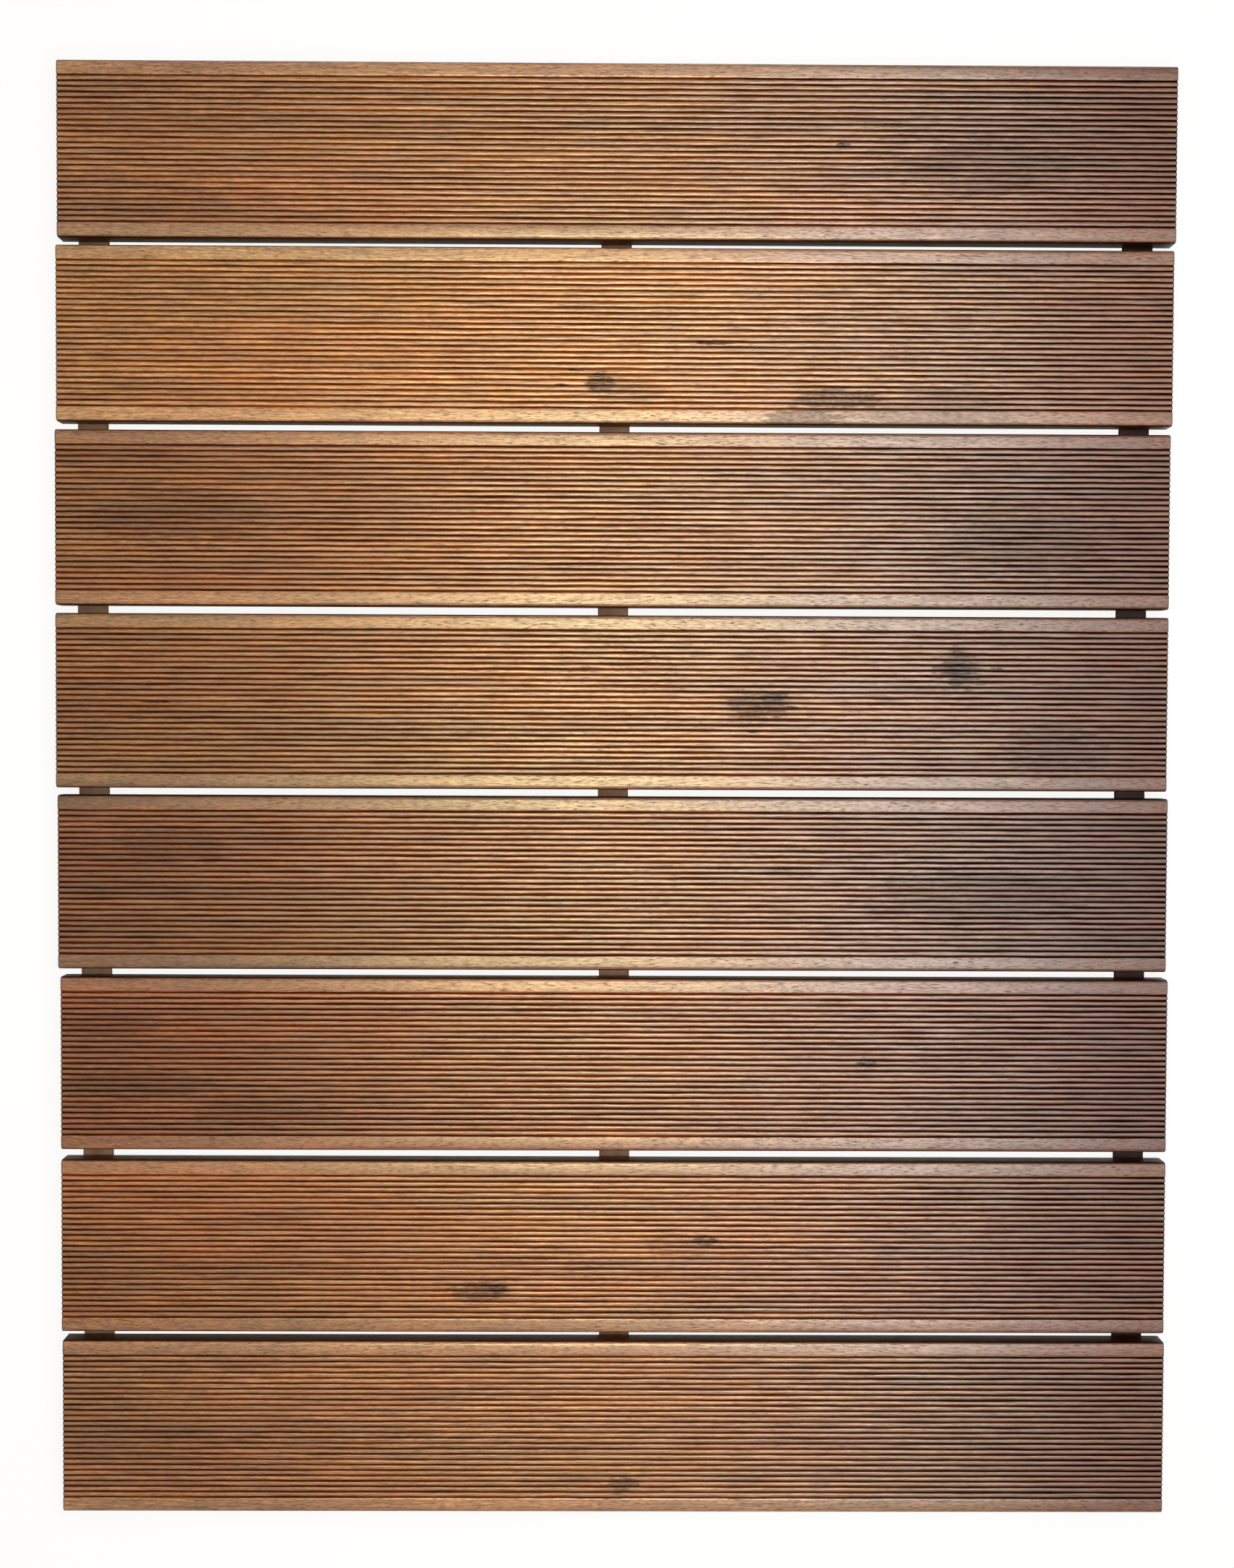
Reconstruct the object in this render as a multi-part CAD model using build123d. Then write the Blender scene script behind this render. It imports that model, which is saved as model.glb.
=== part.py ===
from build123d import *
import os

# A wood deck tile: eight reeded boards side by side on three thin bearer strips, all screwed
# from below. X runs along the boards, Y runs across them, Z is up and zero is the ground.
# Lengths are in millimetres.

# Boards, counted from the far (+Y) edge
SLAT_COUNT = 8
SLAT_LENGTH = 765.0
SLAT_WIDTH = 120.0
SLAT_THICKNESS = 20.0
SLAT_EDGE_RADIUS = 3.0
# The open gap after each board but the last, and how far each board sits off the middle in X
SLAT_GAPS = (5.0, 5.5, 5.5, 5.0, 5.5, 7.0, 6.0)
SLAT_SHIFTS = (0.5, -0.5, -1.5, -1.5, -0.5, 1.0, 1.0, 1.5)

# Reeds: rounded ribs between narrow grooves, planed in by one cutter set
GROOVE_COUNT = 27
REED_PITCH = 3.8
GROOVE_MOUTH = 1.2
GROOVE_ROOT = 0.6
CROWN_RISE = 0.3
GROOVE_DEPTH = 1.5
# The same teeth of the cutter set stand out on every board: second deep, third shallow
TOOTH_DEPTHS = {2: 1.9, 3: 1.2}

# Bearer strips under the boards: thin and tough, they bend a little to follow the boards
BEARER_WIDTH = 21.0
BEARER_THICKNESS = 3.0
BEARER_CHAMFER = 0.6
BEARER_INSET = 15.0
BEARER_SPACING = 361.5
BEARER_NAMES = ("left", "middle", "right")

# Countersunk screws, driven up through the strips: two at each crossing
SCREW_SPREAD = 76.0
SCREW_LENGTH = 16.0
SHANK_RADIUS = 2.0
HEAD_RADIUS = 3.75
HEAD_SINK = 0.25
POINT_LENGTH = 4.0
BEARER_HOLE_RADIUS = 2.1
PILOT_RUNOUT = 0.5
SOCKET_ACROSS_FLATS = 2.5
SOCKET_DEPTH = 1.3

SLAT_BOTTOM = BEARER_THICKNESS
SLAT_TOP = BEARER_THICKNESS + SLAT_THICKNESS
TILE_WIDTH = SLAT_COUNT * SLAT_WIDTH + sum(SLAT_GAPS)
CROWN_CHORD = REED_PITCH - GROOVE_MOUTH
CROWN_RADIUS = (CROWN_CHORD ** 2 / 4 + CROWN_RISE ** 2) / (2 * CROWN_RISE)
SCREW_TIP = HEAD_SINK + SCREW_LENGTH


def slat_centres():
    """Y of the middle of each board, from the far edge to the near one."""
    centres = []
    edge = TILE_WIDTH / 2
    for gap in SLAT_GAPS + (0.0,):
        centres.append(edge - SLAT_WIDTH / 2)
        edge -= SLAT_WIDTH + gap
    return centres


def bearer_centres():
    """X of the middle of each strip, by its name."""
    return {name: (place - 1) * BEARER_SPACING for place, name in enumerate(BEARER_NAMES)}


def screw_places():
    """Where one strip's screws sit, as X off the strip's middle and Y: two to each board."""
    return [
        (shift, y + side * SCREW_SPREAD / 2)
        for shift, y in zip(SLAT_SHIFTS, slat_centres())
        for side in (1, -1)
    ]


def groove_edges(y, depth):
    """One groove from its +Y shoulder to its -Y shoulder: a flat root between tapered walls."""
    shoulder = SLAT_TOP - CROWN_RISE
    root = SLAT_TOP - depth
    corners = [
        (y + GROOVE_MOUTH / 2, shoulder),
        (y + GROOVE_ROOT / 2, root),
        (y - GROOVE_ROOT / 2, root),
        (y - GROOVE_MOUTH / 2, shoulder),
    ]
    return [Line(start, end) for start, end in zip(corners, corners[1:])]


def crown_edge(y):
    """The rounded top of one rib, whose middle is at y."""
    shoulder = SLAT_TOP - CROWN_RISE
    half = CROWN_CHORD / 2
    return ThreePointArc((y + half, shoulder), (y, SLAT_TOP), (y - half, shoulder))


def half_crown_edge(y_flat, y_shoulder):
    """Half a rib top, where a smooth land rolls over into its first groove."""
    across = y_shoulder - y_flat
    middle = y_flat + across / 2
    drop = CROWN_RADIUS - (CROWN_RADIUS ** 2 - (across / 2) ** 2) ** 0.5
    start = (y_flat, SLAT_TOP)
    end = (y_shoulder, SLAT_TOP - CROWN_RISE)
    if across > 0:
        start, end = end, start
    return ThreePointArc(start, (middle, SLAT_TOP - drop), end)


def reeded_top_edges():
    """The top of a board, from its +Y land over every groove and rib to its -Y land."""
    land_edge = SLAT_WIDTH / 2 - SLAT_EDGE_RADIUS
    first = REED_PITCH * (GROOVE_COUNT - 1) / 2
    shoulder = first + GROOVE_MOUTH / 2
    land_end = shoulder + CROWN_CHORD / 2
    edges = [
        Line((land_edge, SLAT_TOP), (land_end, SLAT_TOP)),
        half_crown_edge(land_end, shoulder),
    ]
    for index in range(GROOVE_COUNT):
        y = first - index * REED_PITCH
        edges += groove_edges(y, TOOTH_DEPTHS.get(index + 1, GROOVE_DEPTH))
        if index < GROOVE_COUNT - 1:
            edges.append(crown_edge(y - REED_PITCH / 2))
    edges.append(half_crown_edge(-land_end, -shoulder))
    edges.append(Line((-land_end, SLAT_TOP), (-land_edge, SLAT_TOP)))
    return edges


def corner_edge(y_side, z_side):
    """One rounded long edge: y_side is 1 or -1, z_side is 1 for the top and -1 below."""
    radius = SLAT_EDGE_RADIUS
    outer_y = y_side * SLAT_WIDTH / 2
    outer_z = SLAT_TOP if z_side > 0 else SLAT_BOTTOM
    centre_y = outer_y - y_side * radius
    centre_z = outer_z - z_side * radius
    diagonal = radius * 0.5 ** 0.5
    on_side = (outer_y, centre_z)
    on_face = (centre_y, outer_z)
    middle = (centre_y + y_side * diagonal, centre_z + z_side * diagonal)
    return ThreePointArc(on_side, middle, on_face)


def slat_section():
    """The board's cross-section, in Y and Z, about its own middle in Y."""
    half = SLAT_WIDTH / 2
    radius = SLAT_EDGE_RADIUS
    edges = [Line((radius - half, SLAT_BOTTOM), (half - radius, SLAT_BOTTOM))]
    for y_side in (1, -1):
        side = y_side * half
        edges.append(Line((side, SLAT_BOTTOM + radius), (side, SLAT_TOP - radius)))
        edges.append(corner_edge(y_side, 1))
        edges.append(corner_edge(y_side, -1))
    return make_face(edges + reeded_top_edges())


def make_slat():
    """One board about its own middle: its section drawn out, and pilot holes from below."""
    start = Plane.YZ.offset(-SLAT_LENGTH / 2)
    slat = extrude(start * slat_section(), amount=SLAT_LENGTH)
    depth = SCREW_TIP + PILOT_RUNOUT - SLAT_BOTTOM
    pilot = Cylinder(SHANK_RADIUS, depth, align=(Align.CENTER, Align.CENTER, Align.MIN))
    return slat - [
        Pos(x, side * SCREW_SPREAD / 2, SLAT_BOTTOM) * pilot
        for x in bearer_centres().values()
        for side in (1, -1)
    ]


def countersunk_hole():
    """What a drill and countersink take out of a strip, with its mouth at the ground."""
    mouth = HEAD_RADIUS + HEAD_SINK
    taper = mouth - BEARER_HOLE_RADIUS
    outline = Polyline(
        (0, 0),
        (mouth, 0),
        (BEARER_HOLE_RADIUS, taper),
        (BEARER_HOLE_RADIUS, BEARER_THICKNESS),
        (0, BEARER_THICKNESS),
        close=True,
    )
    return revolve(Plane.XZ * make_face(outline), Axis.Z)


def strip_outline():
    """A strip in plan about its own middle, running through its screws from end to end."""
    end = TILE_WIDTH / 2 - BEARER_INSET
    line = [(SLAT_SHIFTS[0], end), *screw_places(), (SLAT_SHIFTS[-1], -end)]
    left, right = [
        Spline([(x + side * BEARER_WIDTH / 2, y) for x, y in line])
        for side in (-1, 1)
    ]
    return make_face([left, right, Line(left @ 0, right @ 0), Line(left @ 1, right @ 1)])


def make_bearer():
    """One strip about its own middle, with eased edges and countersunk holes."""
    strip = extrude(strip_outline(), amount=BEARER_THICKNESS)
    flat_edges = strip.edges().filter_by(Plane.XY)
    strip = chamfer(flat_edges, BEARER_CHAMFER)
    hole = countersunk_hole()
    return strip - [Pos(x, y, 0) * hole for x, y in screw_places()]


def make_screw():
    """A countersunk wood screw with its point up, on the Z axis, with a hexagon socket."""
    cone_top = HEAD_SINK + HEAD_RADIUS - SHANK_RADIUS
    outline = Polyline(
        (0, HEAD_SINK),
        (HEAD_RADIUS, HEAD_SINK),
        (SHANK_RADIUS, cone_top),
        (SHANK_RADIUS, SCREW_TIP - POINT_LENGTH),
        (0, SCREW_TIP),
        close=True,
    )
    body = revolve(Plane.XZ * make_face(outline), Axis.Z)
    socket = RegularPolygon(SOCKET_ACROSS_FLATS / 2, 6, major_radius=False)
    return body - extrude(Pos(0, 0, HEAD_SINK) * socket, amount=SOCKET_DEPTH)


def main():
    os.makedirs("parts", exist_ok=True)
    slat = make_slat()
    for index, (shift, y) in enumerate(zip(SLAT_SHIFTS, slat_centres())):
        export_step(Pos(shift, y, 0) * slat, f"parts/slat_{index + 1}.step")
    bearer = make_bearer()
    screw = make_screw()
    for name, x_middle in bearer_centres().items():
        screws = Compound([Pos(x_middle + x, y, 0) * screw for x, y in screw_places()])
        export_step(Pos(x_middle, 0, 0) * bearer, f"parts/bearer_{name}.step")
        export_step(screws, f"parts/screws_{name}.step")


main()
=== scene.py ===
"""The looks of a wood deck tile: eight reeded, oiled boards on three thin strips, seen from above.

X runs along the boards, Y across them and Z up. Lengths are in metres.
"""

import math
from types import SimpleNamespace

import bpy
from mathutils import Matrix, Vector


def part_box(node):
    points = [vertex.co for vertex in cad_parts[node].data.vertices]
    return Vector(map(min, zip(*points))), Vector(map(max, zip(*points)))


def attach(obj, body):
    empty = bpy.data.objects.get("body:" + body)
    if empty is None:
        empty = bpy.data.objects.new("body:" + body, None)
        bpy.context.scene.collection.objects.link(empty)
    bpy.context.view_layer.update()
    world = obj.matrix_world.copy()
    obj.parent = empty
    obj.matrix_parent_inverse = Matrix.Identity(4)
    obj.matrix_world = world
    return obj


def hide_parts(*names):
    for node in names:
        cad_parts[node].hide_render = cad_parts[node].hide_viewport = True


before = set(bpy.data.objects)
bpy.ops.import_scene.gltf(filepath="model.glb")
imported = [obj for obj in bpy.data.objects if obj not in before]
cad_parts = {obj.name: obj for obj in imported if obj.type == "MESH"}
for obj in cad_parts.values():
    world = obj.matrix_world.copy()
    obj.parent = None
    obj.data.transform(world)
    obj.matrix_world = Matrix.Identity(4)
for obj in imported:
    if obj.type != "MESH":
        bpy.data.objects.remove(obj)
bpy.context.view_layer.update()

MM = 0.001
BOARD_COUNT = 8

# The boards' cross-section: narrow grooves with flat roots between low rounded ribs
EDGE_RADIUS = 3 * MM
GROOVE_COUNT = 27
REED_PITCH = 3.8 * MM
GROOVE_MOUTH = 1.2 * MM
GROOVE_ROOT = 0.6 * MM
CROWN_RISE = 0.3 * MM
GROOVE_DEPTH = 1.5 * MM
# The same teeth of the cutter set stand out on every board: second deep, third shallow
TOOTH_DEPTHS = {2: 1.9 * MM, 3: 1.2 * MM}
CROWN_CHORD = REED_PITCH - GROOVE_MOUTH
CROWN_RADIUS = (CROWN_CHORD**2 / 4 + CROWN_RISE**2) / (2 * CROWN_RISE)
FIRST_GROOVE = REED_PITCH * (GROOVE_COUNT - 1) / 2
REEDED_HALF = FIRST_GROOVE + GROOVE_MOUTH / 2

# How finely a board is divided: rings along it, steps round each arc, points under it
RINGS = 168
CROWN_STEPS = 6
UPPER_EDGE_STEPS = 6
LOWER_EDGE_STEPS = 5
UNDERSIDE_SHARES = (-0.6, -0.2, 0.2, 0.6)

# How far the eased ends and the torn grain depart from the plane, and the torn grain's waves a metre
END_EASE = 0.35 * MM
RIPPLE = 1.0 * MM
RIPPLE_SINK = 0.2
RIPPLE_WAVES = (520, 520, 38)
RIPPLE_REACH = 2.5 * MM
RIPPLE_MARGIN = 0.1 * MM
# Bends sharper than this stay crisp, in degrees
CRISP_BEND = 35


class Tree:
    """Adds nodes to one node tree, and links or sets their inputs."""

    def __init__(self, tree):
        self.tree = tree
        tree.nodes.clear()

    def plug(self, value, socket):
        if isinstance(value, bpy.types.Node):
            value = value.outputs[0]
        if isinstance(value, bpy.types.NodeSocket):
            self.tree.links.new(value, socket)
        else:
            socket.default_value = value

    def add(self, kind, sockets=None, **settings):
        made = self.tree.nodes.new(kind)
        for name, value in settings.items():
            setattr(made, name, value)
        for key, value in (sockets or {}).items():
            self.plug(value, made.inputs[key])
        return made

    def calc(self, operation, *values, clamp=False):
        sockets = dict(enumerate(values))
        made = self.add("ShaderNodeMath", sockets, operation=operation, use_clamp=clamp)
        return made.outputs[0]

    def vector(self, operation, *values):
        sockets = dict(enumerate(values))
        made = self.add("ShaderNodeVectorMath", sockets, operation=operation)
        return made.outputs["Value" if operation == "LENGTH" else "Vector"]

    def scaled(self, value, factor):
        sockets = {"Vector": value, "Scale": factor}
        return self.add("ShaderNodeVectorMath", sockets, operation="SCALE").outputs["Vector"]

    def xyz(self, x=0.0, y=0.0, z=0.0):
        return self.add("ShaderNodeCombineXYZ", {"X": x, "Y": y, "Z": z}).outputs[0]

    def split(self, value):
        return self.add("ShaderNodeSeparateXYZ", {"Vector": value}).outputs

    def noise(self, place, waves, seed, detail=2.0, roughness=0.5):
        """Noise with that many waves a metre along each axis, and a seed that shifts it."""
        if isinstance(seed, float):
            seed = (seed, 1.7 * seed, -seed)
        sockets = {
            "Vector": self.vector("ADD", self.vector("MULTIPLY", place, waves), seed),
            "Scale": 1.0,
            "Detail": detail,
            "Roughness": roughness,
        }
        return self.add("ShaderNodeTexNoise", sockets).outputs

    def fade(self, value, start, end, low=0.0, high=1.0):
        """A smooth step from low at start to high at end."""
        sockets = {"Value": value, "From Min": start, "From Max": end, "To Min": low, "To Max": high}
        made = self.add("ShaderNodeMapRange", sockets, interpolation_type="SMOOTHSTEP")
        return made.outputs[0]

    def mix(self, share, first, second, how="MIX"):
        """Two colours mixed by a share from 0 to 1. A colour is a socket or red, green and blue."""
        made = self.add("ShaderNodeMix", data_type="RGBA", blend_type=how)
        for name, value in (("Factor_Float", share), ("A_Color", first), ("B_Color", second)):
            if isinstance(value, tuple):
                value = (*value, 1)
            socket = next(s for s in made.inputs if s.identifier == name)
            self.plug(value, socket)
        return next(s for s in made.outputs if s.identifier == "Result_Color")

    def tint(self, share, colour, factors):
        """A colour multiplied by red, green and blue factors, by a share from 0 to 1."""
        return self.mix(share, colour, factors, "MULTIPLY")

    def ramp(self, value, stops):
        """A colour by a value from 0 to 1, through stops of place and colour."""
        made = self.add("ShaderNodeValToRGB", {"Fac": value})
        elements = made.color_ramp.elements
        while len(elements) < len(stops):
            elements.new(0.5)
        for element, (at, colour) in zip(elements, stops):
            element.position = at
            element.color = (*colour, 1)
        return made.outputs["Color"]


def place_in_scene(name, data):
    made = bpy.data.objects.new(name, data)
    bpy.context.scene.collection.objects.link(made)
    return made


# Camera: the one that the slats' edges in the photograph fit, in millimetres, metres and degrees
SENSOR_WIDTH = 36
LENS = 49.094
CAMERA_PLACE = (-0.00937, 0.05438, 1.49459)
CAMERA_TURN = (-1.8174, -0.4235, 0.2419)


def make_camera():
    data = bpy.data.cameras.new("camera")
    data.sensor_width = SENSOR_WIDTH
    data.lens = LENS
    camera = place_in_scene("camera", data)
    camera.location = CAMERA_PLACE
    camera.rotation_euler = [math.radians(turn) for turn in CAMERA_TURN]
    bpy.context.scene.camera = camera


# The boards' shape


def arc(centre, radius, first, last, steps):
    """Points along an arc from one angle to another, in degrees, both ends included."""
    turns = [math.radians(first + (last - first) * k / steps) for k in range(steps + 1)]
    return [(centre[0] + radius * math.cos(t), centre[1] + radius * math.sin(t)) for t in turns]


def crown(middle, top):
    """The rounded top of one rib, from its +Y shoulder to its -Y shoulder."""
    half_turn = math.degrees(math.asin(CROWN_CHORD / 2 / CROWN_RADIUS))
    centre = (middle, top - CROWN_RADIUS)
    return arc(centre, CROWN_RADIUS, 90 - half_turn, 90 + half_turn, CROWN_STEPS)


def board_profile(bottom, top, half):
    """A board's outline about its own middle in Y, anticlockwise from its lower -Y corner."""
    r = EDGE_RADIUS
    flat = half - r
    points = arc((-flat, bottom + r), r, 180, 270, LOWER_EDGE_STEPS)
    points += [(flat * share, bottom) for share in UNDERSIDE_SHARES]
    points += arc((flat, bottom + r), r, 270, 360, LOWER_EDGE_STEPS)
    points += arc((flat, top - r), r, 0, 90, UPPER_EDGE_STEPS)
    points += crown(FIRST_GROOVE + REED_PITCH / 2, top)[CROWN_STEPS // 2 :]
    for index in range(GROOVE_COUNT):
        y = FIRST_GROOVE - index * REED_PITCH
        root = top - TOOTH_DEPTHS.get(index + 1, GROOVE_DEPTH)
        points += [(y + GROOVE_ROOT / 2, root), (y - GROOVE_ROOT / 2, root)]
        if index < GROOVE_COUNT - 1:
            points += crown(y - REED_PITCH / 2, top)
    points += crown(-FIRST_GROOVE - REED_PITCH / 2, top)[: CROWN_STEPS // 2 + 1]
    points += arc((-flat, top - r), r, 90, 180, UPPER_EDGE_STEPS)
    return points


def sweep_tree():
    """A node tree that draws a board's outline out along X, with torn grain along its reeds."""
    group = bpy.data.node_groups.new("reeded board", "GeometryNodeTree")
    sockets = group.interface
    sockets.new_socket("Outline", in_out="INPUT", socket_type="NodeSocketGeometry")
    for name, kind in (
        ("Length", "Float"),
        ("Middle", "Vector"),
        ("Top", "Float"),
        ("Rings", "Int"),
        ("Ease", "Float"),
        ("Ripple", "Float"),
        ("Seed", "Float"),
        ("Finish", "Material"),
    ):
        sockets.new_socket(name, in_out="INPUT", socket_type="NodeSocket" + kind)
    sockets.new_socket("Board", in_out="OUTPUT", socket_type="NodeSocketGeometry")
    tree = Tree(group)
    given = tree.add("NodeGroupInput").outputs

    # The path runs a little past both ends, so that a ring falls one ease inside each end
    half_length = tree.calc("MULTIPLY", given["Length"], 0.5)
    step = tree.calc("DIVIDE", given["Length"], tree.calc("SUBTRACT", given["Rings"], 3.0))
    reach = tree.calc("ADD", half_length, tree.calc("SUBTRACT", step, given["Ease"]))
    back = tree.calc("MULTIPLY", reach, -1.0)
    ends = {"Start": tree.xyz(z=back), "End": tree.xyz(z=reach)}
    path = tree.add("GeometryNodeCurvePrimitiveLine", ends)
    path = tree.add("GeometryNodeResampleCurve", {"Curve": path, "Count": given["Rings"]})
    outline = tree.add("GeometryNodeMeshToCurve", {"Mesh": given["Outline"]})
    parts = {"Curve": path, "Profile Curve": outline, "Fill Caps": True}
    swept = tree.add("GeometryNodeCurveToMesh", parts)

    # The end rings come back to the board's ends and draw in by the ease
    place = tree.add("GeometryNodeInputPosition").outputs[0]
    across, up, along = tree.split(place)
    normal = tree.add("GeometryNodeInputNormal").outputs[0]
    outward = tree.vector("NORMALIZE", tree.vector("MULTIPLY", normal, (1, 1, 0)))
    past_end = tree.calc("GREATER_THAN", tree.calc("ABSOLUTE", along), half_length)
    inset = tree.scaled(outward, tree.calc("MULTIPLY", given["Ease"], past_end))
    eased_across, eased_up, _ = tree.split(tree.vector("SUBTRACT", place, inset))
    limits = {"Value": along, "Min": tree.calc("MULTIPLY", half_length, -1.0), "Max": half_length}
    held_along = tree.add("ShaderNodeClamp", limits)
    position = tree.xyz(eased_across, eased_up, held_along)
    trimmed = tree.add("GeometryNodeSetPosition", {"Geometry": swept, "Position": position})

    # Torn grain: ribs and groove walls wander a little, always inside the planed outline
    grain = tree.noise(place, RIPPLE_WAVES, given["Seed"], detail=3.0)
    sideways, downwards, _ = tree.split(grain["Color"])
    side = tree.calc("MULTIPLY", tree.calc("SUBTRACT", sideways, 0.5), given["Ripple"])
    sink = tree.calc("MULTIPLY", downwards, tree.calc("MULTIPLY", given["Ripple"], -RIPPLE_SINK))
    reeded = tree.calc("LESS_THAN", tree.calc("ABSOLUTE", across), REEDED_HALF + RIPPLE_MARGIN)
    near_top = tree.calc("GREATER_THAN", up, tree.calc("SUBTRACT", given["Top"], RIPPLE_REACH))
    chosen = tree.calc("MULTIPLY", reeded, near_top)
    ripple = {"Geometry": trimmed, "Selection": chosen, "Offset": tree.xyz(side, sink)}
    rippled = tree.add("GeometryNodeSetPosition", ripple)

    laid = {
        "Geometry": rippled,
        "Translation": given["Middle"],
        "Rotation": (math.pi / 2, 0, math.pi / 2),
    }
    laid = tree.add("GeometryNodeTransform", laid)
    smooth = tree.add("GeometryNodeSetShadeSmooth", {"Geometry": laid, "Shade Smooth": True})
    bend = tree.add("GeometryNodeInputMeshEdgeAngle").outputs["Unsigned Angle"]
    corners = tree.calc("GREATER_THAN", bend, math.radians(CRISP_BEND))
    crisp = {"Geometry": smooth, "Selection": corners, "Shade Smooth": False}
    crisp = tree.add("GeometryNodeSetShadeSmooth", crisp, domain="EDGE")
    plain = tree.add("GeometryNodeRealizeInstances", {"Geometry": crisp})
    finish = {"Geometry": plain, "Material": given["Finish"]}
    tree.add("NodeGroupOutput", {"Board": tree.add("GeometryNodeSetMaterial", finish)})
    return group


def set_inputs(modifier, values):
    """Sets a modifier's inputs, each by the identifier of the tree's socket of that name."""
    for item in modifier.node_group.interface.items_tree:
        if item.item_type == "SOCKET" and item.name in values:
            modifier[item.identifier] = values[item.name]


def make_board(number, group, finish):
    """One board in place of its CAD solid, in the same place and of the same form."""
    low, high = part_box(f"slat_{number}")
    middle = (low + high) / 2
    profile = board_profile(low.z, high.z, (high.y - low.y) / 2)
    outline = bpy.data.meshes.new(f"outline_{number}")
    pairs = [(k, (k + 1) % len(profile)) for k in range(len(profile))]
    outline.from_pydata([(y, z, 0) for y, z in profile], pairs, [])
    maker = place_in_scene(f"maker_{number}", outline)
    modifier = maker.modifiers.new("reeds", "NODES")
    modifier.node_group = group
    sizes = {
        "Length": high.x - low.x,
        "Middle": (middle.x, middle.y, 0),
        "Top": high.z,
        "Rings": RINGS,
        "Ease": END_EASE,
        "Ripple": RIPPLE,
        "Seed": 3.7 * number,
        "Finish": finish,
    }
    set_inputs(modifier, sizes)
    maker.update_tag()
    looks = bpy.context.evaluated_depsgraph_get()
    mesh = bpy.data.meshes.new_from_object(maker.evaluated_get(looks))
    bpy.data.objects.remove(maker)
    board = place_in_scene(f"board_{number}", mesh)
    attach(board, "root")
    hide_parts(f"slat_{number}")


# Finishes

# Each board's tone beside the others, and the marks in its wood: kind, X and Y on the tile,
# half length along the grain and half width across it, in millimetres
# The clouds near the +X ends of boards 1 to 5 add painted shade there, as well as dark wood
BOARDS = {
    1: ((1.23, 1.26, 1.30), [("dash", 154, 445, 5, 1.5), ("cloud", 250, 430, 60, 22)]),
    2: (
        (1.52, 1.68, 1.62),
        [
            ("knot", -11, 282, 11, 8),
            ("cloud", 8, 276, 26, 10),
            ("dash", 66, 310, 14, 1.6),
            ("dash", -29, 291, 6, 1.0),
            ("dash", -38, 281, 5, 1.0),
            ("dash", 145, 277, 7, 1.4),
            ("smear", 128, 258, 32, 9),
            ("smear", 150, 272, 36, 8),
            ("cloud", 220, 262, 60, 22),
        ],
    ),
    3: ((0.98, 0.94, 0.86), [("cloud", -300, 190, 70, 20), ("cloud", 280, 175, 70, 26)]),
    4: (
        (0.90, 0.88, 0.78),
        [
            ("smear", 98, 62, 24, 12),
            ("knot", 110, 68, 12, 4),
            ("smear", 237, 88, 18, 16),
            ("knot", 236, 86, 10, 6),
            ("dash", 262, 88, 5, 1.1),
            ("dash", 215, 83, 4, 1.0),
            ("dash", 122, 61, 5, 1.1),
            ("dash", 96, 44, 5, 1.5),
            ("dash", -315, 63, 12, 1.2),
            ("dash", -208, 82, 13, 1.1),
            ("cloud", 302, 34, 40, 20),
        ],
    ),
    5: ((0.71, 0.61, 0.54), [("cloud", -306, -37, 42, 16), ("cloud", 250, -70, 90, 20)]),
    6: (
        (0.80, 0.62, 0.52),
        [
            ("cloud", -345, -160, 40, 9),
            ("cloud", -330, -200, 60, 12),
            ("cloud", -240, -222, 60, 10),
            ("knot", 175, -185, 8, 3.2),
        ],
    ),
    7: (
        (1.06, 0.97, 0.82),
        [
            ("knot", 65, -309, 11, 4),
            ("cloud", 50, -311, 26, 9),
            ("smear", -92, -345, 22, 8),
            ("knot", -80, -343, 8, 4),
        ],
    ),
    8: ((1.16, 1.22, 1.25), [("smear", 8, -480, 12, 8)]),
}

# For each kind of mark: its colour, its strength, how ragged its outline is
MARKS = {
    "knot": ((0.036, 0.017, 0.012), 0.98, 1.1),
    "smear": ((0.075, 0.042, 0.031), 0.88, 1.6),
    "cloud": ((0.095, 0.050, 0.032), 0.52, 1.8),
    "dash": ((0.026, 0.010, 0.004), 1.0, 1.5),
}
MARK_EDGE = (1.1, 0.7)
MOTTLING = (0.62, 0.42, 0.60, 1.0)

# The wood's patterns: waves a metre along X, Y and Z, what moves the seed, detail, roughness
PATTERNS = {
    "wander": ((2.4, 9, 9), 0, 1.0, 0.5),
    "streak": ((1.7, 70, 70), 1, 3.0, 0.6),
    "patch": ((3.2, 14, 14), 2, 1.0, 0.5),
    "rib": ((7, 3, 1), 3, 1.0, 0.5),
    "fibre": ((34, 950, 950), 4, 3.0, 0.65),
    "pore": ((190, 3000, 3000), 5, 0.0, 0.5),
    "rag": ((110, 420, 300), 6, 2.0, 0.5),
    "ring": ((40, 40, 40), 7, 0.0, 0.5),
    "mottle": ((260, 1300, 900), 8, 1.0, 0.5),
    "filling": ((9, 3, 1), 9, 1.0, 0.5),
    "fleck": ((210, 1700, 1700), 10, 1.0, 0.5),
}
# The tints that some of them give: the values that they run between, and the tint at each
TINTS = {
    "patch": (0.38, 0.62, (1.07, 0.96, 0.90), (0.98, 0.99, 0.93)),
    "rib": (0.30, 0.70, (0.90, 0.84, 0.80), (1.14, 1.08, 1.00)),
    "fibre": (0.34, 0.66, (0.66, 0.60, 0.54), (1.30, 1.28, 1.24)),
    "fleck": (0.36, 0.64, (0.80, 0.77, 0.74), (1.20, 1.19, 1.17)),
}
WOOD_STREAKS = [
    (0.32, (0.175, 0.092, 0.046)),
    (0.50, (0.232, 0.126, 0.064)),
    (0.68, (0.290, 0.163, 0.084)),
]
# How far the grain wanders off the reeds' straight lines
GRAIN_WANDER = (0, 0.03, 0.03)
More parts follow.
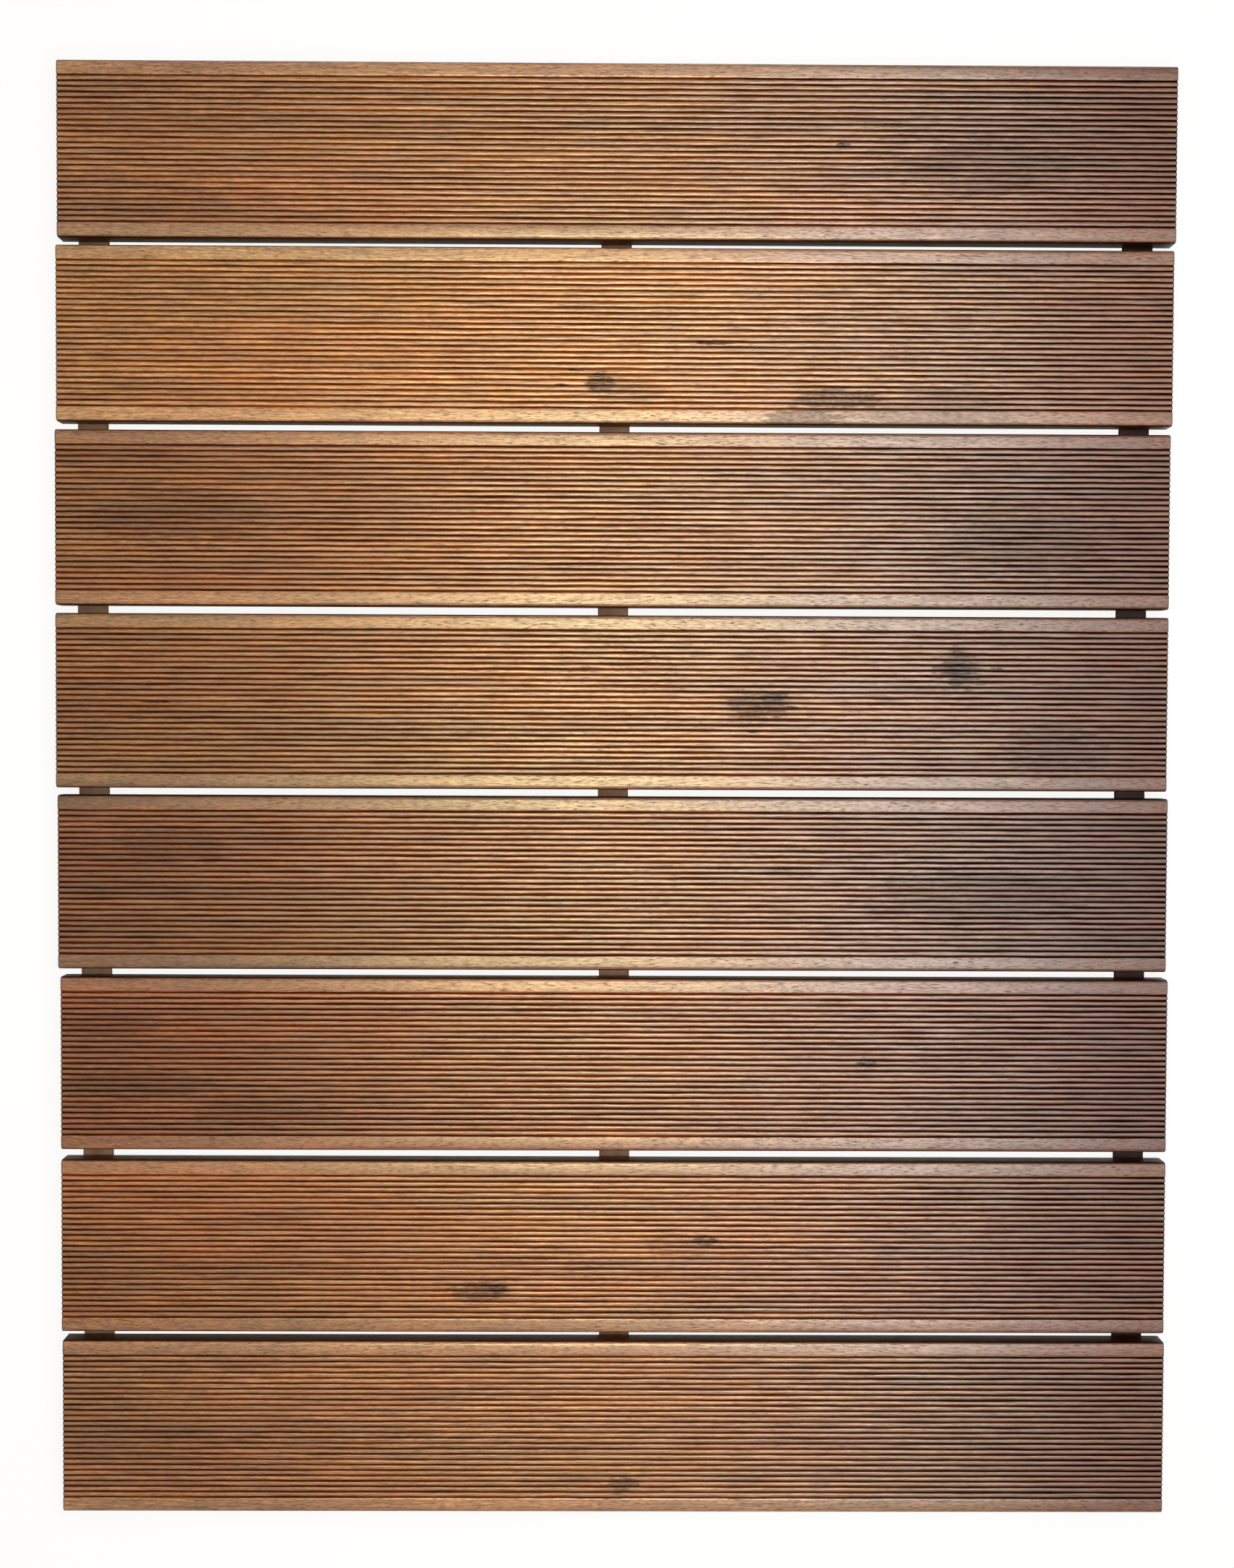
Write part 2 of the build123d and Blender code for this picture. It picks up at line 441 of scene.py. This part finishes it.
# How far apart in the noise the ribs lie, and the grooves, so that each has its own
RIB_STEP = 0.37
GROOVE_STEP = 0.61

PORE_FADE = (0.58, 0.66)
# The pores' share on the ribs and on the lands, which lie within this much of the last groove
PORE_SHARES = (0.35, 0.75)
LAND_FADE = 0.4 * MM
PORE_TINT = (0.42, 0.31, 0.22)

# Oil and painted shade in the grooves, down their walls and over the ribs' shoulders: where they lie,
# and their thin and thick tints at the middle and at +X
OIL_AND_SHADE_DEPTHS = (0.10 * MM, 0.50 * MM)
OIL_AND_SHADE_FLOOR = 3.0 * MM
OIL_AND_SHADE_MARGIN = 0.2 * MM
OIL_FILLING = (0.34, 0.60)
THIN_OIL_AND_SHADE = ((0.56, 0.23, 0.02), (0.17, 0.055, 0.035))
THICK_OIL_AND_SHADE = ((0.32, 0.11, 0.005), (0.07, 0.02, 0.009))

# Painted shade down the long sides, between the upper edge and the underside, and painted shade
# towards the boards' two ends, darker and redder over the last stretch at +X
SIDE_DEPTHS = (0.5 * MM, 1.5 * MM)
UNDERSIDE_DEPTHS = (19.0 * MM, 19.9 * MM)
SIDE_SHADE = (0.16, 0.10, 0.08)
TOWARD_RIGHT = (0.0, 0.36)
RIGHT_SHADE = (0.51, 0.47, 0.41)
TOWARD_LEFT = (-0.10, -0.36)
LEFT_SHADE = (0.92, 0.90, 0.89)
RIGHT_END = (0.24, 0.36)
RIGHT_END_SHADE = (0.95, 0.74, 0.62)

# End grain: the rings' heart, pitch, wander and colours, and the painted shade along the top's rim at
# each end
HEART = (0, 0.02, -0.07)
RING_PITCH = 4.2 * MM
RING_WANDER = 6 * MM
RING_DARK = (0.085, 0.043, 0.022)
RING_LIGHT = (0.17, 0.09, 0.045)
SAWN_DEPTH = 0.02 * MM
RIM_WIDTH = 1.2 * MM
RIM_SHARE = 0.85
RIM_SHADE = (0.20, 0.14, 0.12)

# Gloss: the oil film's sheen where it is whole and where the wood is dull, dimmed also as painted shade
# in the grooves and down the long sides, and roughness
OILED_SHEEN = (1.0, 0.93, 0.82)
DULL_SHEEN = (0.05, 0.02, 0.01)
SPOILED_SHARE = 0.7
WOOD_ROUGHNESS = (0.3, 0.7, 0.41, 0.31)
PORE_ROUGHNESS = 0.25
GROOVE_ROUGHNESS = 0.30
END_ROUGHNESS = 0.25


def start_material(name):
    """A new material, its empty node tree, and where its points lie on the object."""
    material = bpy.data.materials.new(name)
    material.use_nodes = True
    tree = Tree(material.node_tree)
    return material, tree, tree.add("ShaderNodeTexCoord").outputs["Object"]


def close_material(tree, sockets):
    shader = tree.add("ShaderNodeBsdfPrincipled", sockets)
    tree.add("ShaderNodeOutputMaterial", {"Surface": shader})


def pattern(tree, place, name, seed):
    """One of the wood's patterns, as its noise's outputs."""
    waves, shift, detail, roughness = PATTERNS[name]
    return tree.noise(place, waves, seed + shift, detail, roughness)


def tinted(tree, colour, name, value):
    """A colour under the tint that a pattern's value gives."""
    start, end, first, second = TINTS[name]
    return tree.tint(1.0, colour, tree.mix(tree.fade(value, start, end), first, second))


def wood_grain(tree, at, seed):
    """The plain wood's colour, with its fibres and pores."""
    wander = tree.vector("SUBTRACT", pattern(tree, at.local, "wander", seed)["Color"], (0.5, 0.5, 0.5))
    grain = tree.vector("ADD", at.local, tree.vector("MULTIPLY", wander, GRAIN_WANDER))
    colour = tree.ramp(pattern(tree, grain, "streak", seed)["Fac"], WOOD_STREAKS)
    colour = tinted(tree, colour, "patch", pattern(tree, at.local, "patch", seed)["Fac"])

    rib = tree.calc("FLOOR", tree.calc("DIVIDE", at.across, REED_PITCH))
    half_ribs = (GROOVE_COUNT + 1) / 2
    rib = tree.add("ShaderNodeClamp", {"Value": rib, "Min": -half_ribs, "Max": half_ribs - 1})
    rib_place = tree.xyz(at.along, tree.calc("MULTIPLY", rib, RIB_STEP), seed)
    colour = tinted(tree, colour, "rib", pattern(tree, rib_place, "rib", seed)["Fac"])

    fibre = pattern(tree, grain, "fibre", seed)["Fac"]
    colour = tinted(tree, colour, "fibre", fibre)
    colour = tinted(tree, colour, "fleck", pattern(tree, grain, "fleck", seed)["Fac"])

    # Pores are drawn out as short dark dashes, plainest on the smooth lands
    share = tree.fade(at.off_middle, REEDED_HALF, REEDED_HALF + LAND_FADE, *PORE_SHARES)
    pores = tree.fade(pattern(tree, grain, "pore", seed)["Fac"], *PORE_FADE)
    pore = tree.calc("MULTIPLY", pores, share)
    return tree.tint(pore, colour, PORE_TINT), fibre, pore


def wood_mark(tree, place, ragged, kind, x, y, half_length, half_width):
    """How strongly one mark shows, from 0 to its full strength."""
    off = tree.vector("SUBTRACT", place, (x * MM, y * MM, 0))
    shrunk = tree.vector("MULTIPLY", off, (1 / half_length / MM, 1 / half_width / MM, 0))
    strength, rag = MARKS[kind][1:]
    torn = tree.vector("ADD", shrunk, tree.scaled(ragged, rag))
    return tree.fade(tree.vector("LENGTH", torn), *MARK_EDGE, 0.0, strength)


def wood_marks(tree, at, seed, marks, colour):
    """The colour with the board's knots, smears, clouds and dashes, and where they lie."""
    ragged = tree.vector("SUBTRACT", pattern(tree, at.place, "rag", seed)["Color"], (0.5, 0.5, 0.5))
    mottled = tree.fade(pattern(tree, at.place, "mottle", seed)["Fac"], *MOTTLING)
    marked = 0.0
    for mark in marks:
        shown = tree.calc("MULTIPLY", wood_mark(tree, at.place, ragged, *mark), mottled)
        marked = tree.calc("MAXIMUM", marked, shown)
        colour = tree.mix(shown, colour, MARKS[mark[0]][0])
    return colour, marked


def oil_and_painted_shade(tree, at, seed, colour):
    """The colour darkened by oil and painted shade in the grooves, and by painted shade down the long
    sides and towards the ends.
    """
    # Oil and painted shade in the grooves, from the ribs' shoulders down the walls, darker towards +X
    in_reeds = tree.calc("LESS_THAN", at.off_middle, REEDED_HALF + OIL_AND_SHADE_MARGIN)
    near_top = tree.calc("LESS_THAN", at.depth, OIL_AND_SHADE_FLOOR)
    in_groove = tree.calc("MULTIPLY", tree.fade(at.depth, *OIL_AND_SHADE_DEPTHS), near_top)
    groove = tree.calc("MULTIPLY", in_groove, in_reeds)
    groove_number = tree.calc("ROUND", tree.calc("DIVIDE", at.across, REED_PITCH))
    groove_place = tree.xyz(at.along, tree.calc("MULTIPLY", groove_number, GROOVE_STEP), seed)
    filling = tree.fade(pattern(tree, groove_place, "filling", seed)["Fac"], *OIL_FILLING)
    toward_right = tree.fade(at.along, *TOWARD_RIGHT)
    oil_and_shade = tree.mix(filling, tree.mix(toward_right, *THIN_OIL_AND_SHADE), tree.mix(toward_right, *THICK_OIL_AND_SHADE))
    colour = tree.tint(groove, colour, oil_and_shade)

    # Painted shade down the long sides, between the upper edge and the underside
    above_underside = tree.fade(at.depth, *UNDERSIDE_DEPTHS, 1.0, 0.0)
    side = tree.calc("MULTIPLY", tree.fade(at.depth, *SIDE_DEPTHS), above_underside)
    side = tree.calc("MULTIPLY", side, tree.calc("SUBTRACT", 1.0, in_reeds))
    colour = tree.tint(side, colour, SIDE_SHADE)
    # Painted shade towards the ends: darker towards +X and a little towards -X, and redder over the last
    # stretch at +X
    colour = tree.tint(toward_right, colour, RIGHT_SHADE)
    colour = tree.tint(tree.fade(at.along, *TOWARD_LEFT), colour, LEFT_SHADE)
    colour = tree.tint(tree.fade(at.along, *RIGHT_END), colour, RIGHT_END_SHADE)
    return colour, groove, side


def end_grain(tree, at, seed, half_length, colour):
    """The colour with growth rings on the two sawn ends alone, and where those are."""
    from_middle = tree.calc("ABSOLUTE", at.along)
    at_end = tree.fade(from_middle, half_length - END_EASE, half_length - SAWN_DEPTH)
    off_heart = tree.vector("MULTIPLY", tree.vector("SUBTRACT", at.local, HEART), (0, 1, 1))
    wander = tree.calc("MULTIPLY", pattern(tree, at.local, "ring", seed)["Fac"], RING_WANDER)
    radius = tree.calc("ADD", tree.vector("LENGTH", off_heart), wander)
    wave = tree.calc("SINE", tree.calc("MULTIPLY", radius, 2 * math.pi / RING_PITCH))
    rings = tree.mix(tree.fade(wave, -1.0, 1.0), RING_DARK, RING_LIGHT)
    colour = tree.mix(at_end, colour, rings)
    # Painted shade along the top's rim at each end
    rim = tree.fade(from_middle, half_length - RIM_WIDTH, half_length - END_EASE, 0.0, RIM_SHARE)
    return tree.tint(rim, colour, RIM_SHADE), at_end


def oiled_wood(number):
    """Reeded hardwood under oil: streaks, fibres and pores along X, and this board's own marks."""
    low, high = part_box(f"slat_{number}")
    middle = (low + high) / 2
    tone, marks = BOARDS[number]
    seed = 11.3 * number
    material, tree, place = start_material(f"oiled_wood_{number}")
    local = tree.vector("SUBTRACT", place, (middle.x, middle.y, high.z))
    along, across, rise = tree.split(local)
    at = SimpleNamespace(
        place=place,
        local=local,
        along=along,
        across=across,
        depth=tree.calc("MULTIPLY", rise, -1.0),
        off_middle=tree.calc("ABSOLUTE", across),
    )
    colour, fibre, pore = wood_grain(tree, at, seed)
    colour, marked = wood_marks(tree, at, seed, marks, colour)
    colour, groove, side = oil_and_painted_shade(tree, at, seed, colour)
    colour, at_end = end_grain(tree, at, seed, (high.x - low.x) / 2, colour)

    rough = tree.fade(fibre, *WOOD_ROUGHNESS)
    for share, extra in ((pore, PORE_ROUGHNESS), (groove, GROOVE_ROUGHNESS), (at_end, END_ROUGHNESS)):
        rough = tree.calc("MULTIPLY_ADD", share, extra, rough, clamp=True)
    spoiled = tree.calc("MULTIPLY", tree.calc("MAXIMUM", pore, marked), SPOILED_SHARE)
    # The gloss is dulled in the grooves and down the long sides as painted shade, and over pores and
    # marks for the wood's own dullness
    dull = tree.calc("MAXIMUM", tree.calc("MAXIMUM", groove, side), spoiled)
    shader = {
        "Base Color": tree.tint(1.0, colour, tone),
        "Roughness": rough,
        "Normal": tree.add("ShaderNodeBump", {"Height": fibre, "Strength": 0.3, "Distance": 0.10 * MM}),
        "Specular IOR Level": 1.0,
        "IOR": 1.65,
        "Specular Tint": tree.mix(dull, OILED_SHEEN, DULL_SHEEN),
    }
    close_material(tree, shader)
    return material


def finish_node(name, finish):
    """Gives a CAD node its finish through its object's own slots."""
    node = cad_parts[name]
    for slot in node.material_slots:
        slot.link = "OBJECT"
        slot.material = finish


# The strips' plastic, with painted shade towards +X and painted light towards -X
PLASTIC_DARK = (0.180, 0.080, 0.050)
PLASTIC_LIGHT = (0.230, 0.112, 0.072)
PLASTIC_DUST = (0.22, 0.17, 0.13)
PLASTIC_RIGHT_SHADE = (0.14, 0.08, 0.07)
PLASTIC_LEFT_LIGHT = (1.35, 1.75, 1.95)

STEEL_BRIGHT = (0.60, 0.59, 0.57)
STEEL_BLOOM = (0.43, 0.42, 0.41)


def strip_plastic():
    """Dark brown satin plastic with a fine mould grain and faint flow streaks along the strip."""
    material, tree, place = start_material("strip_plastic")
    flow = tree.noise(place, (160, 14, 160), 2.0, detail=3.0)["Fac"]
    grain = tree.noise(place, (1900, 1900, 1900), 5.0, detail=1.0)["Fac"]
    dust = tree.noise(place, (60, 60, 60), 9.0, detail=4.0)["Fac"]
    colour = tree.mix(tree.fade(flow, 0.35, 0.65), PLASTIC_DARK, PLASTIC_LIGHT)
    colour = tree.mix(tree.fade(dust, 0.55, 0.75, 0.0, 0.25), colour, PLASTIC_DUST)
    along = tree.split(place)["X"]
    # Painted shade darkens the strips towards +X, and painted light brightens them towards -X
    colour = tree.tint(tree.fade(along, 0.05, 0.33), colour, PLASTIC_RIGHT_SHADE)
    colour = tree.tint(tree.fade(along, -0.05, -0.33), colour, PLASTIC_LEFT_LIGHT)
    rough = tree.fade(dust, 0.4, 0.7, 0.32, 0.48)
    shader = {
        "Base Color": colour,
        "Roughness": tree.calc("MULTIPLY_ADD", grain, 0.06, rough),
        "Normal": tree.add("ShaderNodeBump", {"Height": grain, "Strength": 0.35, "Distance": 0.05 * MM}),
        "Specular IOR Level": 0.25,
    }
    close_material(tree, shader)
    return material


def screw_steel():
    """Plain bright steel with fine drawn lines and a little grey bloom."""
    material, tree, place = start_material("screw_steel")
    lines = tree.noise(place, (5200, 700, 700), 3.0, detail=2.0)["Fac"]
    bloom = tree.noise(place, (420, 420, 420), 6.0, detail=3.0)["Fac"]
    rough = tree.fade(bloom, 0.3, 0.7, 0.24, 0.38)
    shader = {
        "Base Color": tree.mix(tree.fade(bloom, 0.35, 0.7), STEEL_BRIGHT, STEEL_BLOOM),
        "Metallic": 1.0,
        "Roughness": tree.calc("MULTIPLY_ADD", lines, 0.08, rough),
        "Normal": tree.add("ShaderNodeBump", {"Height": lines, "Strength": 0.3, "Distance": 0.03 * MM}),
    }
    close_material(tree, shader)
    return material


# The setting

FLOOR_REACH = 40.0
PAPER = (0.86, 0.85, 0.83)
# The share of the floor's look that is plain white, and how far off gloss starts to see it
FLOOR_WHITE = 0.89
WHITE_BEYOND = (0.06, 0.30)
# Light from all round, and the height below which gloss sees the white backdrop instead
SOFT_LIGHT = (1.0, 0.98, 1.02)
SOFT_STRENGTH = 0.435
WHITE_BELOW = (0.25, 0.08)

# Two soft boxes over the tile: where along X, width along X, length along Y, watts and colour
LAMPS = {
    "key": (-0.03, 0.27, 0.90, 8.9, (1.0, 0.87, 0.48)),
    "side": (0.33, 0.30, 1.60, 11.2, (0.72, 0.76, 0.92)),
}
LAMP_Y = 0.04
LAMP_HEIGHT = 1.05


def background_share(tree, rays, mirrored):
    """1 for camera rays, and for rays in gloss or through glass the share that is mirrored."""
    bent = tree.calc("MAXIMUM", rays["Is Glossy Ray"], rays["Is Transmission Ray"])
    return tree.calc("MAXIMUM", rays["Is Camera Ray"], tree.calc("MULTIPLY", bent, mirrored))


def make_floor():
    """A plain pale floor that shows nearly white and keeps a soft shadow."""
    reach = FLOOR_REACH
    corners = [(-reach, -reach, 0), (reach, -reach, 0), (reach, reach, 0), (-reach, reach, 0)]
    mesh = bpy.data.meshes.new("floor")
    mesh.from_pydata(corners, [], [(0, 1, 2, 3)])
    floor = place_in_scene("floor", mesh)
    material = bpy.data.materials.new("pale floor")
    material.use_nodes = True
    tree = Tree(material.node_tree)
    paper = tree.add("ShaderNodeBsdfDiffuse", {"Color": (*PAPER, 1)})
    white = tree.add("ShaderNodeEmission", {"Color": (1, 1, 1, 1), "Strength": 1.0})
    rays = tree.add("ShaderNodeLightPath").outputs
    beyond_object = tree.fade(rays["Ray Length"], *WHITE_BEYOND)
    share = tree.calc("MULTIPLY", background_share(tree, rays, beyond_object), FLOOR_WHITE)
    shown = tree.add("ShaderNodeMixShader", {0: share, 1: paper, 2: white})
    tree.add("ShaderNodeOutputMaterial", {"Surface": shown})
    mesh.materials.append(material)


def make_world():
    """Soft light from all round, with a white backdrop that gloss shows low down."""
    world = bpy.data.worlds.new("studio")
    bpy.context.scene.world = world
    world.use_nodes = True
    tree = Tree(world.node_tree)
    soft = tree.add("ShaderNodeBackground", {"Color": (*SOFT_LIGHT, 1), "Strength": SOFT_STRENGTH})
    white = tree.add("ShaderNodeBackground", {"Color": (1, 1, 1, 1), "Strength": 1.0})
    rays = tree.add("ShaderNodeLightPath").outputs
    heading = tree.split(tree.add("ShaderNodeTexCoord").outputs["Generated"])
    share = background_share(tree, rays, tree.fade(heading["Z"], *WHITE_BELOW))
    shown = tree.add("ShaderNodeMixShader", {0: share, 1: soft, 2: white})
    tree.add("ShaderNodeOutputWorld", {"Surface": shown})


def make_lamp(name):
    """A soft box that hangs over the tile and faces straight down."""
    x, width, length, watts, colour = LAMPS[name]
    data = bpy.data.lights.new(name, "AREA")
    data.shape = "RECTANGLE"
    data.size = width
    data.size_y = length
    data.energy = watts
    data.color = colour
    lamp = place_in_scene(name, data)
    lamp.visible_camera = False
    lamp.location = (x, LAMP_Y, LAMP_HEIGHT)


make_camera()
reeds = sweep_tree()
for board_number in range(1, BOARD_COUNT + 1):
    make_board(board_number, reeds, oiled_wood(board_number))
plastic = strip_plastic()
steel = screw_steel()
for strip in ("left", "middle", "right"):
    finish_node(f"bearer_{strip}", plastic)
    finish_node(f"screws_{strip}", steel)
make_floor()
make_world()
for lamp_name in LAMPS:
    make_lamp(lamp_name)
bpy.context.scene.view_settings.view_transform = "Standard"
